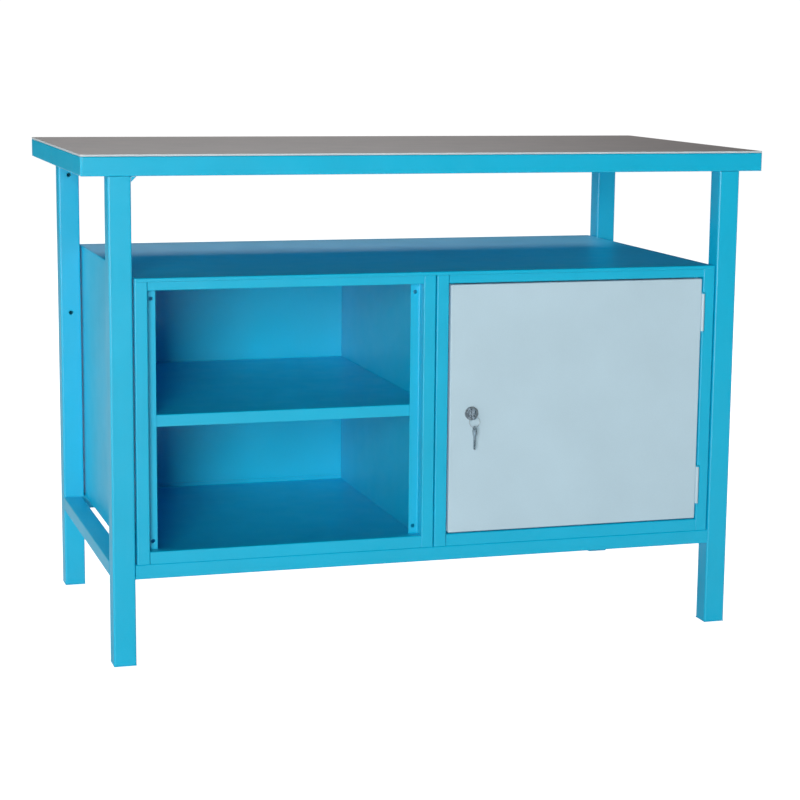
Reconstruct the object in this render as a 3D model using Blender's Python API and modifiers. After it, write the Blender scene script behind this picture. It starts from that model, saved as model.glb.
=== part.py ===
"""Steel workbench with one open cupboard and one lockable cupboard under a framed worktop.

Metres, +Z up, +X to the right and -Y to the front. The origin is on the floor, under the middle
of everything, the keys in the lock included, so the worktop sits KEY_REACH / 2 behind it. The
door turns about the Z axis of its hinge pins, the lock and its key about the lock's Y axis, and
the spare key about the X axis at the foot of the key ring.
"""

import math

import bmesh
import bpy
from mathutils import Matrix, Vector

# Overall sizes
LENGTH = 1.200
DEPTH = 0.600
HEIGHT = 0.850

# Worktop
TOP_SHEET = 0.003
TOP_FRAME_HEIGHT = 0.032
TOP_FRAME_WIDTH = 0.035
CROSS_HEIGHT = 0.012
CROSS_WIDTH = 0.030

# Legs and lower rails
LEG = 0.038
LEG_OVERHANG = 0.0435
TUBE_WALL = 0.002
TUBE_CORNER = 0.003
RAIL_BOTTOM = 0.1475
RAIL_HEIGHT = 0.025
RAIL_WIDTH = 0.034
FOOT_PLATE = 0.002
BOLT_HOLE = 0.004
GUSSET = 0.009

# Cupboards
CUPBOARD_HEIGHT = 0.4775
STEEL = 0.0012
COVER_LIP = 0.0063
STILE = 0.0215
SILL = 0.0210
HEADER = 0.0205
REBATE = 0.022
STOP_FLANGE = 0.0165
BACK_FLANGE = 0.014
FLOOR_FLANGE = 0.008
SCREW_HOLE = 0.0035
SHELF_PLACE = 0.518
SHELF_LIP = 0.020
SHELF_RAIL = 0.014
SHELF_SETBACK = 0.0015
LOCKED_SHELF_SETBACK = 0.020
CUPBOARD_GAP = 0.0020
LEG_GAP = 0.0030

# Door, hinges and lock
DOOR_GAP = 0.0030
DOOR_STOP_GAP = 0.002
DOOR_HEM = 0.012
HINGE_INSET = 0.060
HINGE_HEIGHT = 0.066
KNUCKLE = 0.0030
PIN = 0.0015
EAR = 0.002
LOCK_INSET = 0.039
LOCK_PLACE = 0.484
LOCK_FLANGE = 0.012
LOCK_BARREL = 0.0095
PLUG = 0.0070
CAM_LENGTH = 0.034
CAM_THICKNESS = 0.002
CAM_CLEARANCE = 0.001
LOCK_TAIL = 0.0038
KEY_BOW = 0.0095
KEY_BLADE = 0.022
KEY_THICKNESS = 0.0018
KEY_HOLE = 0.0036
RING = 0.0095
RING_WIRE = 0.0007
RING_PIVOT = (-0.0028, -0.0100)

# Clearances: between pieces that touch, and between pieces that turn in each other
GAP = 0.0003
RUNNING = 0.00008

# Derived positions
FRONT = -DEPTH / 2
BACK = DEPTH / 2
TOP_FRAME_TOP = HEIGHT - TOP_SHEET - GAP
TOP_FRAME_BOTTOM = TOP_FRAME_TOP - TOP_FRAME_HEIGHT + GAP
RAIL_TOP = RAIL_BOTTOM + RAIL_HEIGHT
LEG_CENTRE = LENGTH / 2 - LEG_OVERHANG - LEG / 2
CUPBOARD_BOTTOM = RAIL_TOP + GAP
CUPBOARD_TOP = RAIL_TOP + CUPBOARD_HEIGHT
CARCASS_TOP = CUPBOARD_TOP - COVER_LIP - GAP
CUPBOARD_SIDE = LEG_CENTRE - LEG / 2 - LEG_GAP
CUPBOARD_BACK = BACK - 0.001
OPENING_BOTTOM = RAIL_TOP + SILL
OPENING_TOP = CUPBOARD_TOP - HEADER
FLOOR_TOP = CUPBOARD_BOTTOM + STEEL
BACK_PANEL_FRONT = CUPBOARD_BACK - 2 * STEEL - GAP
SHELF_TOP = RAIL_TOP + CUPBOARD_HEIGHT * SHELF_PLACE
OPENING_LEFT = CUPBOARD_GAP / 2 + STILE
OPENING_RIGHT = CUPBOARD_SIDE - STILE
DOOR_DEPTH = REBATE - DOOR_STOP_GAP
CAM_FRONT = REBATE + STEEL + CAM_CLEARANCE
DOOR_LEFT = OPENING_LEFT + DOOR_GAP + 0.0005
DOOR_RIGHT = OPENING_RIGHT - DOOR_GAP + 0.0005
DOOR_BOTTOM = OPENING_BOTTOM + DOOR_GAP - 0.001
DOOR_TOP = OPENING_TOP - DOOR_GAP + 0.0005
HINGE_X = OPENING_RIGHT + 0.001
HINGE_Y = FRONT + 0.002
LOCK_X = DOOR_LEFT + LOCK_INSET
LOCK_Z = DOOR_BOTTOM + (DOOR_TOP - DOOR_BOTTOM) * LOCK_PLACE
KEY_BOW_Y = FRONT - 0.0050 - KEY_BOW
KEY_HOLE_Y = KEY_BOW_Y - 0.0045
RING_Z = LOCK_Z - KEY_HOLE + RING_WIRE + GAP - RING
SPARE_Z = RING_Z - RING - KEY_HOLE + RING_WIRE + GAP
SPARE_BOW_Z = SPARE_Z - 0.0045
KEY_REACH = FRONT - KEY_HOLE_Y + KEY_BOW

# Colours
BLUE = "26AACD"
GREY = "B1C6D2"
BOARD = "968A88"
PLYWOOD = "B08D63"
ZINC = "A9ADB0"
NICKEL = "8C8F92"
RUBBER = "2B2B2C"


def remove_everything():
    for obj in list(bpy.data.objects):
        bpy.data.objects.remove(obj, do_unlink=True)


def new_collection(name):
    collection = bpy.data.collections.new(name)
    bpy.context.scene.collection.children.link(collection)
    return collection


def linear(code):
    """The linear RGBA of an sRGB hex colour."""
    values = []
    for start in (0, 2, 4):
        value = int(code[start : start + 2], 16) / 255
        values.append(value / 12.92 if value <= 0.04045 else ((value + 0.055) / 1.055) ** 2.4)
    return (*values, 1.0)


def finish(obj, code, roughness, metallic=0.0):
    material = bpy.data.materials.new(obj.name)
    material.use_nodes = True
    shader = material.node_tree.nodes["Principled BSDF"]
    shader.inputs["Base Color"].default_value = linear(code)
    shader.inputs["Roughness"].default_value = roughness
    shader.inputs["Metallic"].default_value = metallic
    obj.data.materials.clear()
    obj.data.materials.append(material)
    return obj


def paint(obj):
    return finish(obj, BLUE, 0.35)


def to_object(bm, name, collection, place=(0, 0, 0)):
    mesh = bpy.data.meshes.new(name)
    bm.to_mesh(mesh)
    bm.free()
    obj = bpy.data.objects.new(name, mesh)
    obj.location = place
    collection.objects.link(obj)
    return obj


def box(name, low, high, collection=None, origin=(0, 0, 0)):
    """A box between two corners, in an object whose origin is given."""
    low = Vector(low)
    high = Vector(high)
    origin = Vector(origin)
    bm = bmesh.new()
    bmesh.ops.create_cube(bm, size=1.0)
    bmesh.ops.scale(bm, verts=bm.verts, vec=high - low)
    bmesh.ops.translate(bm, verts=bm.verts, vec=(low + high) / 2 - origin)
    return to_object(bm, name, collection or PARTS, origin)


AXIS_TURN = {
    "X": Matrix.Rotation(math.pi / 2, 3, "Y"),
    "Y": Matrix.Rotation(math.pi / 2, 3, "X"),
    "Z": Matrix.Identity(3),
}


def cylinder(name, centre, radius, length, axis, collection=None, origin=(0, 0, 0), sides=32):
    bm = bmesh.new()
    bmesh.ops.create_cone(
        bm, cap_ends=True, segments=sides, radius1=radius, radius2=radius, depth=length
    )
    bmesh.ops.rotate(bm, verts=bm.verts, cent=(0, 0, 0), matrix=AXIS_TURN[axis])
    bmesh.ops.translate(bm, verts=bm.verts, vec=Vector(centre) - Vector(origin))
    obj = to_object(bm, name, collection or PARTS, origin)
    obj.data.shade_smooth()
    obj.data.set_sharp_from_angle(angle=math.radians(35))
    return obj


def boolean(obj, operation, other):
    other.hide_render = True
    other.display_type = "WIRE"
    modifier = obj.modifiers.new(f"{operation.lower()} {other.name}", "BOOLEAN")
    modifier.operation = operation
    modifier.solver = "EXACT"
    modifier.object = other


def cut(obj, other):
    boolean(obj, "DIFFERENCE", other)


def join(obj, other):
    boolean(obj, "UNION", other)


def round_edges(obj, width, segments=2):
    modifier = obj.modifiers.new("rounded edges", "BEVEL")
    modifier.width = width
    modifier.segments = segments
    modifier.limit_method = "ANGLE"
    modifier.angle_limit = math.radians(60)


def thicken(obj, thickness):
    modifier = obj.modifiers.new("sheet thickness", "SOLIDIFY")
    modifier.thickness = thickness
    modifier.offset = -1.0
    modifier.use_even_offset = True


def tube(name, low, high, axis):
    """A rectangular tube open at both ends, with rounded long corners."""
    obj = box(name, low, high)
    bm = bmesh.new()
    bm.from_mesh(obj.data)
    index = "XYZ".index(axis)
    ends = [face for face in bm.faces if abs(face.normal[index]) > 0.9]
    bmesh.ops.delete(bm, geom=ends, context="FACES_ONLY")
    bm.to_mesh(obj.data)
    bm.free()
    round_edges(obj, TUBE_CORNER)
    thicken(obj, TUBE_WALL)
    return paint(obj)


def mitred_tube(name, length, width, height, centre, turn):
    """A rectangular tube along X with 45 degree ends that face inwards, turned about Z."""
    bm = bmesh.new()
    bmesh.ops.create_cube(bm, size=1.0)
    bmesh.ops.scale(bm, verts=bm.verts, vec=(length - 2 * GAP, width, height))
    for vert in bm.verts:
        if vert.co.y > 0:
            vert.co.x -= math.copysign(width, vert.co.x)
    obj = to_object(bm, name, PARTS, centre)
    obj.rotation_euler.z = turn
    round_edges(obj, TUBE_CORNER / 2)
    bm = bmesh.new()
    bmesh.ops.create_cube(bm, size=1.0)
    inner = (length * 1.1, width - 2 * TUBE_WALL, height - 2 * TUBE_WALL)
    bmesh.ops.scale(bm, verts=bm.verts, vec=inner)
    cutter = to_object(bm, f"{name}_hollow", CUTTERS, centre)
    cutter.rotation_euler.z = turn
    cut(obj, cutter)
    return paint(obj)


def folded_sheet(name, path, run, outside):
    """A steel sheet folded along a path and run in one direction; the path is its outer skin.

    The first fold's skin faces the outside direction, and the thickness goes to its back.
    """
    bm = bmesh.new()
    corners = [bm.verts.new(point) for point in path]
    edges = [bm.edges.new(pair) for pair in zip(corners, corners[1:])]
    grown = bmesh.ops.extrude_edge_only(bm, edges=edges)["geom"]
    moved = [item for item in grown if isinstance(item, bmesh.types.BMVert)]
    bmesh.ops.translate(bm, verts=moved, vec=run)
    bmesh.ops.recalc_face_normals(bm, faces=bm.faces)
    first = next(face for face in bm.faces if corners[0] in face.verts)
    if first.normal.dot(Vector(outside)) < 0:
        bmesh.ops.reverse_faces(bm, faces=bm.faces)
    obj = to_object(bm, name, PARTS)
    thicken(obj, STEEL)
    return paint(obj)


def tray(name, low, high, open_side, hem=0.0, origin=(0, 0, 0)):
    """A folded steel box with one side open, or partly closed by a hem."""
    obj = box(name, low, high, origin=origin)
    bm = bmesh.new()
    bm.from_mesh(obj.data)
    side = max(bm.faces, key=lambda face: face.normal.dot(Vector(open_side)))
    if hem:
        bmesh.ops.inset_region(bm, faces=[side], thickness=hem, use_even_offset=True)
    bmesh.ops.delete(bm, geom=[side], context="FACES")
    bm.to_mesh(obj.data)
    bm.free()
    thicken(obj, STEEL)
    return obj


def build_worktop():
    sheet = box("worktop_sheet", (-LENGTH / 2, FRONT, HEIGHT - TOP_SHEET), (LENGTH / 2, BACK, HEIGHT))
    round_edges(sheet, 0.0004, 1)
    finish(sheet, BOARD, 0.45)

    middle = (TOP_FRAME_TOP + TOP_FRAME_BOTTOM) / 2
    height = TOP_FRAME_TOP - TOP_FRAME_BOTTOM
    inset = TOP_FRAME_WIDTH / 2
    across = LENGTH / 2 - inset
    deep = DEPTH / 2 - inset
    mitred_tube("worktop_front_frame", LENGTH, TOP_FRAME_WIDTH, height, (0, -deep, middle), 0)
    mitred_tube("worktop_rear_frame", LENGTH, TOP_FRAME_WIDTH, height, (0, deep, middle), math.pi)
    mitred_tube("worktop_left_frame", DEPTH, TOP_FRAME_WIDTH, height, (-across, 0, middle), -math.pi / 2)
    mitred_tube("worktop_right_frame", DEPTH, TOP_FRAME_WIDTH, height, (across, 0, middle), math.pi / 2)

    inner_y = DEPTH / 2 - TOP_FRAME_WIDTH - GAP
    inner_x = LENGTH / 2 - TOP_FRAME_WIDTH - 0.001
    cross_top = TOP_FRAME_BOTTOM + CROSS_HEIGHT
    for side, centre in (("left", -LEG_CENTRE), ("centre", 0.0), ("right", LEG_CENTRE)):
        low = (centre - CROSS_WIDTH / 2, -inner_y, TOP_FRAME_BOTTOM)
        high = (centre + CROSS_WIDTH / 2, inner_y, cross_top)
        tube(f"{side}_cross_member", low, high, "Y")
    low = (-inner_x, -inner_y + 0.0007, cross_top + GAP)
    board = box("worktop_core_board", low, (inner_x, inner_y - 0.0007, TOP_FRAME_TOP))
    finish(board, PLYWOOD, 0.7)


def build_leg(name, side, front):
    """One leg with its foot; side is -1 for left and 1 for right."""
    centre_x = side * LEG_CENTRE
    centre_y = FRONT + LEG / 2 if front else BACK - LEG / 2
    low = (centre_x - LEG / 2, centre_y - LEG / 2, FOOT_PLATE + GAP)
    high = (centre_x + LEG / 2, centre_y + LEG / 2, TOP_FRAME_BOTTOM - GAP)
    leg = tube(f"{name}_leg", low, high, "Z")

    foot = box(f"{name}_foot", (low[0], low[1], 0), (high[0], high[1], FOOT_PLATE))
    bm = bmesh.new()
    bm.from_mesh(foot.data)
    top = max(bm.faces, key=lambda face: face.normal.z)
    bmesh.ops.inset_region(bm, faces=[top], thickness=TUBE_WALL + 0.0015, use_even_offset=True)
    plug = bmesh.ops.extrude_face_region(bm, geom=[top])["geom"]
    raised = [item for item in plug if isinstance(item, bmesh.types.BMVert)]
    bmesh.ops.delete(bm, geom=[top], context="FACES")
    bmesh.ops.translate(bm, verts=raised, vec=(0, 0, 0.012))
    bm.to_mesh(foot.data)
    bm.free()
    paint(foot)
    return leg, centre_x, centre_y


def build_frame():
    build_leg("front_left", -1, True)
    build_leg("front_right", 1, True)
    build_leg("rear_right", 1, False)
    leg, leg_x, leg_y = build_leg("rear_left", -1, False)
    for number, fraction in enumerate((0.920, 0.6175)):
        centre = (leg_x, leg_y - LEG / 2, HEIGHT * fraction)
        hole = cylinder(f"leg_hole_{number}", centre, BOLT_HOLE, LEG, "Y", CUTTERS, sides=16)
        cut(leg, hole)

    inner = LEG_CENTRE - LEG / 2 - GAP
    outer = LEG_CENTRE + LEG / 2
    near = DEPTH / 2 - LEG - GAP
    low_z, high_z = RAIL_BOTTOM, RAIL_TOP
    tube("lower_front_rail", (-inner, FRONT, low_z), (inner, FRONT + RAIL_WIDTH, high_z), "X")
    tube("lower_rear_rail", (-inner, BACK - RAIL_WIDTH, low_z), (inner, BACK, high_z), "X")
    tube("lower_left_rail", (-outer, -near, low_z), (-outer + RAIL_WIDTH, near, high_z), "Y")
    tube("lower_right_rail", (outer - RAIL_WIDTH, -near, low_z), (outer, near, high_z), "Y")

    corner = Vector((-inner, FRONT + 0.001, TOP_FRAME_BOTTOM - GAP))
    gusset = box("front_left_gusset", corner - Vector((0, 0, GUSSET)), corner + Vector((GUSSET, 0.003, 0)))
    bm = bmesh.new()
    bm.from_mesh(gusset.data)
    for vert in bm.verts:
        if vert.co.x > corner.x + GUSSET / 2:
            vert.co.z = corner.z
    bmesh.ops.remove_doubles(bm, verts=bm.verts, dist=0.0001)
    bm.to_mesh(gusset.data)
    bm.free()
    paint(gusset)


def cupboard_side(name, outer, inward):
    """A side panel folded at the front into stile, rebate and stop flange, and at the back."""

    def at(inset, y):
        return Vector((outer + inward * inset, y, CUPBOARD_BOTTOM))

    stop_y = FRONT + REBATE
    path = [
        at(BACK_FLANGE, CUPBOARD_BACK),
        at(0, CUPBOARD_BACK),
        at(0, FRONT),
        at(STILE, FRONT),
        at(STILE, stop_y),
        at(STILE + STOP_FLANGE, stop_y),
    ]
    run = (0, 0, CARCASS_TOP - CUPBOARD_BOTTOM)
    side = folded_sheet(name, path, run, (0, 1, 0))
    for number, height in enumerate((OPENING_BOTTOM + 0.0135, OPENING_TOP - 0.0155)):
        centre = (outer + inward * (STILE + 0.009), stop_y, height)
        cut(side, cylinder(f"{name}_hole_{number}", centre, SCREW_HOLE, 0.006, "Y", CUTTERS, sides=16))
    return side


def build_cupboard(name, left, right, shelf_setback):
    cupboard_side(f"{name}_left_side", left, 1)
    right_side = cupboard_side(f"{name}_right_side", right, -1)

    first = left + STILE + GAP
    width = right - left - 2 * (STILE + GAP)
    inner_y = FRONT + REBATE - GAP
    path = [
        Vector((first, FRONT, CARCASS_TOP)),
        Vector((first, FRONT, OPENING_TOP)),
        Vector((first, inner_y, OPENING_TOP)),
        Vector((first, inner_y, CARCASS_TOP - 0.001)),
    ]
    folded_sheet(f"{name}_header", path, (width, 0, 0), (0, -1, 0))
    path = [
        Vector((first, inner_y, FLOOR_TOP + GAP)),
        Vector((first, inner_y, OPENING_BOTTOM)),
        Vector((first, FRONT, OPENING_BOTTOM)),
        Vector((first, FRONT, CUPBOARD_BOTTOM)),
    ]
    folded_sheet(f"{name}_sill", path, (width, 0, 0), (0, 1, 0))

    wall = left + STEEL + GAP
    span = right - left - 2 * (STEEL + GAP)
    floor_back = BACK_PANEL_FRONT - GAP
    path = [
        Vector((wall, floor_back - STEEL, FLOOR_TOP + FLOOR_FLANGE)),
        Vector((wall, floor_back - STEEL, FLOOR_TOP)),
        Vector((wall, FRONT + STEEL + GAP, FLOOR_TOP)),
    ]
    floor = folded_sheet(f"{name}_floor", path, (span, 0, 0), (0, -1, 0))
    reach = STILE + STOP_FLANGE + GAP
    for side, near, far in (("left", left, left + reach), ("right", right - reach, right)):
        low = (near, FRONT, CUPBOARD_BOTTOM - 0.001)
        high = (far, FRONT + REBATE + STEEL + GAP, FLOOR_TOP + 0.001)
        cut(floor, box(f"{name}_floor_{side}_notch", low, high, CUTTERS))
    low = (wall, BACK_PANEL_FRONT, CUPBOARD_BOTTOM)
    high = (wall + span, BACK_PANEL_FRONT + STEEL, CUPBOARD_TOP - STEEL - GAP)
    paint(box(f"{name}_back_panel", low, high))

    shelf_front = FRONT + REBATE + STEEL + shelf_setback
    shelf_back = floor_back - 0.0007
    lip_bottom = SHELF_TOP - SHELF_LIP
    path = [
        Vector((wall + 0.001, shelf_front, lip_bottom)),
        Vector((wall + 0.001, shelf_front, SHELF_TOP)),
        Vector((wall + 0.001, shelf_back, SHELF_TOP)),
        Vector((wall + 0.001, shelf_back, lip_bottom)),
    ]
    folded_sheet(f"{name}_shelf", path, (span - 0.002, 0, 0), (0, -1, 0))
    rail_top = SHELF_TOP - STEEL - GAP
    rail_run = (0, shelf_back - shelf_front - 0.04, 0)
    for side, edge, inward in (("left", wall, 1), ("right", wall + span, -1)):
        path = [
            Vector((edge + inward * SHELF_RAIL, shelf_front + 0.02, rail_top)),
            Vector((edge, shelf_front + 0.02, rail_top)),
            Vector((edge, shelf_front + 0.02, rail_top - SHELF_RAIL)),
        ]
        folded_sheet(f"{name}_{side}_shelf_rail", path, rail_run, (0, 0, 1))
    return right_side


def build_cupboards():
    build_cupboard("left_cupboard", -CUPBOARD_SIDE, -CUPBOARD_GAP / 2, SHELF_SETBACK)
    hinge_side = build_cupboard("right_cupboard", CUPBOARD_GAP / 2, CUPBOARD_SIDE, LOCKED_SHELF_SETBACK)
    low = (-CUPBOARD_SIDE, FRONT, CUPBOARD_TOP - COVER_LIP)
    paint(tray("cupboard_top_cover", low, (CUPBOARD_SIDE, CUPBOARD_BACK, CUPBOARD_TOP), (0, 0, -1)))
    return hinge_side


def build_hinge(name, centre_z, hinge_side):
    """A knuckle on the door's edge, a bracket in the stile and the pin that joins them."""
    half = HINGE_HEIGHT / 2
    outer = half + GAP + EAR
    axis = Vector((HINGE_X, HINGE_Y, centre_z))

    knuckle = cylinder(f"{name}_door_knuckle", axis, KNUCKLE, HINGE_HEIGHT, "Z", origin=axis)
    low = (HINGE_X - KNUCKLE - 0.0001, HINGE_Y, centre_z - half)
    high = (HINGE_X - KNUCKLE + 0.0009, HINGE_Y + 0.016, centre_z + half)
    leaf = box(f"{name}_leaf", low, high, CUTTERS)
    join(knuckle, leaf)
    bore = cylinder(f"{name}_bore", axis, PIN + RUNNING, HINGE_HEIGHT * 1.2, "Z", CUTTERS)
    cut(knuckle, bore)
    finish(knuckle, GREY, 0.35)

    pin = cylinder(f"{name}_pin", axis, PIN, 2 * outer, "Z", origin=axis, sides=24)
    finish(pin, ZINC, 0.3, 1.0)

    plate_left = OPENING_RIGHT + STEEL + GAP
    low = (plate_left, HINGE_Y + KNUCKLE + 0.0005, centre_z - outer)
    bracket = box(f"{name}_bracket", low, (plate_left + 0.0015, FRONT + 0.019, centre_z + outer))
    for side in (-1, 1):
        edge = centre_z + side * (half + GAP)
        far = edge + side * EAR
        ear_low = (plate_left, HINGE_Y - 0.0025, min(edge, far))
        ear_high = (plate_left + 0.0026, HINGE_Y + 0.009, max(edge, far))
        join(bracket, box(f"{name}_ear_{side}", ear_low, ear_high, CUTTERS))
        eye_centre = axis + Vector((0, 0, side * (half + GAP + EAR / 2)))
        join(bracket, cylinder(f"{name}_eye_{side}", eye_centre, KNUCKLE - 0.0002, EAR, "Z", CUTTERS))
    cut(bracket, cylinder(f"{name}_eye_bore", axis, PIN + RUNNING, 2 * half + 0.02, "Z", CUTTERS))
    paint(bracket)

    low = (OPENING_RIGHT - 0.0006, FRONT - 0.001, centre_z - outer - 0.0007)
    high = (plate_left + 0.0030, FRONT + 0.0062, centre_z + outer + 0.0007)
    notch = box(f"{name}_notch", low, high, CUTTERS)
    cut(hinge_side, notch)


def build_door(hinge_side):
    hinge = Vector((HINGE_X, HINGE_Y, (DOOR_BOTTOM + DOOR_TOP) / 2))
    low = (DOOR_LEFT, FRONT, DOOR_BOTTOM)
    high = (DOOR_RIGHT, FRONT + DOOR_DEPTH, DOOR_TOP)
    door = tray("door_panel", low, high, (0, 1, 0), DOOR_HEM, origin=hinge)
    centre = (LOCK_X, FRONT, LOCK_Z)
    cut(door, cylinder("door_lock_hole", centre, LOCK_BARREL + 0.0004, 0.01, "Y", CUTTERS))
    finish(door, GREY, 0.35)
    build_hinge("upper_hinge", DOOR_TOP - HINGE_INSET, hinge_side)
    build_hinge("lower_hinge", DOOR_BOTTOM + HINGE_INSET, hinge_side)

    stop_y = FRONT + REBATE
    for side, height in (("lower", OPENING_BOTTOM + 0.0135), ("upper", OPENING_TOP - 0.0155)):
        place = Vector((OPENING_LEFT + 0.009, 0, height))
        pad = place + Vector((0, stop_y - 0.0010, 0))
        stem = place + Vector((0, stop_y + 0.0009, 0))
        buffer = cylinder(f"{side}_door_buffer", pad, 0.005, 0.0014, "Y", sides=20)
        join(buffer, cylinder(f"{side}_buffer_stem", stem, 0.0031, 0.0030, "Y", CUTTERS, sides=16))
        finish(buffer, RUBBER, 0.8)


def build_key(name, bow, blade_end, hole, origin):
    """A flat key in the YZ plane: a round bow with a hole, and a blade to the given end."""
    key = cylinder(name, bow, KEY_BOW, KEY_THICKNESS, "X", origin=origin)
    along = (Vector(blade_end) - Vector(bow)).normalized()
    start = Vector(bow) + along * KEY_BOW * 0.5
    across = Vector((1, 1, 1)) - Vector([abs(value) for value in along])
    half = Vector((KEY_THICKNESS / 2, 0.0038, 0.0038)) * across
    corners = [start - half, start + half, Vector(blade_end) - half, Vector(blade_end) + half]
    low = [min(point[k] for point in corners) for k in range(3)]
    high = [max(point[k] for point in corners) for k in range(3)]
    low[0] = bow[0] - KEY_THICKNESS / 2
    high[0] = bow[0] + KEY_THICKNESS / 2
    join(key, box(f"{name}_blade", low, high, CUTTERS))
    cut(key, cylinder(f"{name}_hole", hole, KEY_HOLE, 0.01, "X", CUTTERS))
    return finish(key, NICKEL, 0.3, 1.0)


def build_lock():
    axis = Vector((LOCK_X, FRONT, LOCK_Z))

    def turned(name, radius, front, back, collection=None, sides=32):
        centre = axis + Vector((0, (front + back) / 2, 0))
        return cylinder(name, centre, radius, back - front, "Y", collection, axis, sides)

    body = turned("lock_body", LOCK_FLANGE, -0.0035, -GAP)
    join(body, turned("lock_barrel", LOCK_BARREL, -0.001, CAM_FRONT - 0.0047, CUTTERS))
    cut(body, turned("lock_bore", PLUG + RUNNING, -0.01, CAM_FRONT, CUTTERS))
    finish(body, NICKEL, 0.3, 1.0)

    nut = turned("lock_nut", 0.0135, STEEL + GAP, STEEL + GAP + 0.004, sides=6)
    cut(nut, turned("lock_nut_bore", LOCK_BARREL + GAP, 0, 0.01, CUTTERS))
    finish(nut, ZINC, 0.35, 1.0)

    shoulder = CAM_FRONT - 0.0032
    tail_end = CAM_FRONT + CAM_THICKNESS + 0.0002
    plug = turned("lock_plug", PLUG, -0.0045, shoulder)
    join(plug, turned("lock_plug_tail", LOCK_TAIL, shoulder - 0.0005, tail_end, CUTTERS))
    slot = KEY_THICKNESS / 2 + GAP
    low = (LOCK_X - slot, FRONT - 0.01, LOCK_Z - 0.0042)
    high = (LOCK_X + slot, FRONT + KEY_BLADE - 0.0040, LOCK_Z + 0.0042)
    keyway = box("lock_keyway", low, high, CUTTERS)
    cut(plug, keyway)
    cut(plug, turned("lock_plug_bore", 0.0018, shoulder - 0.0015, tail_end + 0.01, CUTTERS, 16))
    finish(plug, NICKEL, 0.3, 1.0)

    cam_back = CAM_FRONT + CAM_THICKNESS
    low = axis + Vector((-0.008, CAM_FRONT, -CAM_LENGTH))
    high = axis + Vector((0.008, cam_back, 0.0))
    cam = box("lock_cam", low, high, origin=axis)
    join(cam, turned("lock_cam_head", 0.008, CAM_FRONT, cam_back, CUTTERS))
    cut(cam, turned("lock_cam_bore", LOCK_TAIL + 0.0004, CAM_FRONT - 0.01, cam_back + 0.01, CUTTERS, 24))
    finish(cam, ZINC, 0.35, 1.0)

    head = tail_end + GAP
    screw = turned("cam_screw", 0.0055, head, head + 0.0023, sides=20)
    join(screw, turned("cam_screw_shank", 0.0015, shoulder - 0.0010, head + 0.0003, CUTTERS, 16))
    finish(screw, ZINC, 0.3, 1.0)

    bow = Vector((LOCK_X, KEY_BOW_Y, LOCK_Z))
    tip = Vector((LOCK_X, FRONT - 0.0045 + KEY_BLADE, LOCK_Z))
    build_key("key", bow, tip, Vector((LOCK_X, KEY_HOLE_Y, LOCK_Z)), axis)

    ring_centre = Vector((LOCK_X, KEY_HOLE_Y, RING_Z))
    pivot = Vector((LOCK_X + RING_PIVOT[0], KEY_HOLE_Y, LOCK_Z + RING_PIVOT[1]))
    bpy.ops.mesh.primitive_torus_add(
        major_radius=RING,
        minor_radius=RING_WIRE,
        major_segments=40,
        minor_segments=8,
    )
    ring = bpy.context.active_object
    ring.name = "key_ring"
    for collection in list(ring.users_collection):
        collection.objects.unlink(ring)
    PARTS.objects.link(ring)
    upright = Matrix.Translation(ring_centre - pivot) @ Matrix.Rotation(math.pi / 2, 4, "X")
    ring.data.transform(upright)
    ring.location = pivot
    ring.data.shade_smooth()
    finish(ring, ZINC, 0.25, 1.0)

    bow = Vector((LOCK_X, KEY_HOLE_Y, SPARE_BOW_Z))
    tip = bow - Vector((0, 0, KEY_BOW + KEY_BLADE))
    hole = Vector((LOCK_X, KEY_HOLE_Y, SPARE_Z))
    build_key("spare_key", bow, tip, hole, Vector((LOCK_X, KEY_HOLE_Y, RING_Z - RING)))


remove_everything()
PARTS = new_collection("workbench")
CUTTERS = new_collection("cutters")
build_worktop()
build_frame()
build_door(build_cupboards())
build_lock()
for item in list(PARTS.objects) + list(CUTTERS.objects):
    item.location.y += KEY_REACH / 2
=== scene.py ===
"""Finished looks for a steel workbench with an open cupboard and a lockable cupboard.

Laid out as an add-on and run as a script. Each operator builds one group of pieces at the sizes
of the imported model; the last one builds the stage.
"""

import math

import bpy
from mathutils import Matrix, Vector


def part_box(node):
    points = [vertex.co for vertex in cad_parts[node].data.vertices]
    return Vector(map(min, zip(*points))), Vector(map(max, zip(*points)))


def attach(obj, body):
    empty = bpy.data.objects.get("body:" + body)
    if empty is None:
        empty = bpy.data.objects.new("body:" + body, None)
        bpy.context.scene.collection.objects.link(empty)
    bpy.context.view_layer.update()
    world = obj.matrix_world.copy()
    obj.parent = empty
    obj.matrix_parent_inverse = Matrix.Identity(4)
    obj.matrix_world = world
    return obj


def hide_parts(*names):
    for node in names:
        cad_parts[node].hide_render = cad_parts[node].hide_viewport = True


bl_info = {
    "name": "Steel workbench with cupboards",
    "version": (1, 0, 0),
    "blender": (4, 5, 0),
    "location": "View3D > Sidebar > Workbench",
    "description": "Builds the finished look of a tube-framed workbench with two cupboards",
    "category": "Object",
}

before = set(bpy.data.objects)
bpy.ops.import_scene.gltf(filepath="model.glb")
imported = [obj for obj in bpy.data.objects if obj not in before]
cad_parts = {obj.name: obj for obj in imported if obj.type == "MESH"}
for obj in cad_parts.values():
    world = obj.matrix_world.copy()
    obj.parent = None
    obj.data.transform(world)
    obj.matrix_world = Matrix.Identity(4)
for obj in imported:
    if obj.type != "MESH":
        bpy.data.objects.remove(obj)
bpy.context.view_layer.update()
SAME_PLACE = 1e-5
FACING = 0.9


def low(node_name):
    return Vector(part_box(node_name)[0])


def high(node_name):
    return Vector(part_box(node_name)[1])


def middle(node_name):
    return (low(node_name) + high(node_name)) / 2


FRONT = low("front_left_leg").y
BACK = high("rear_left_leg").y


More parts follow.
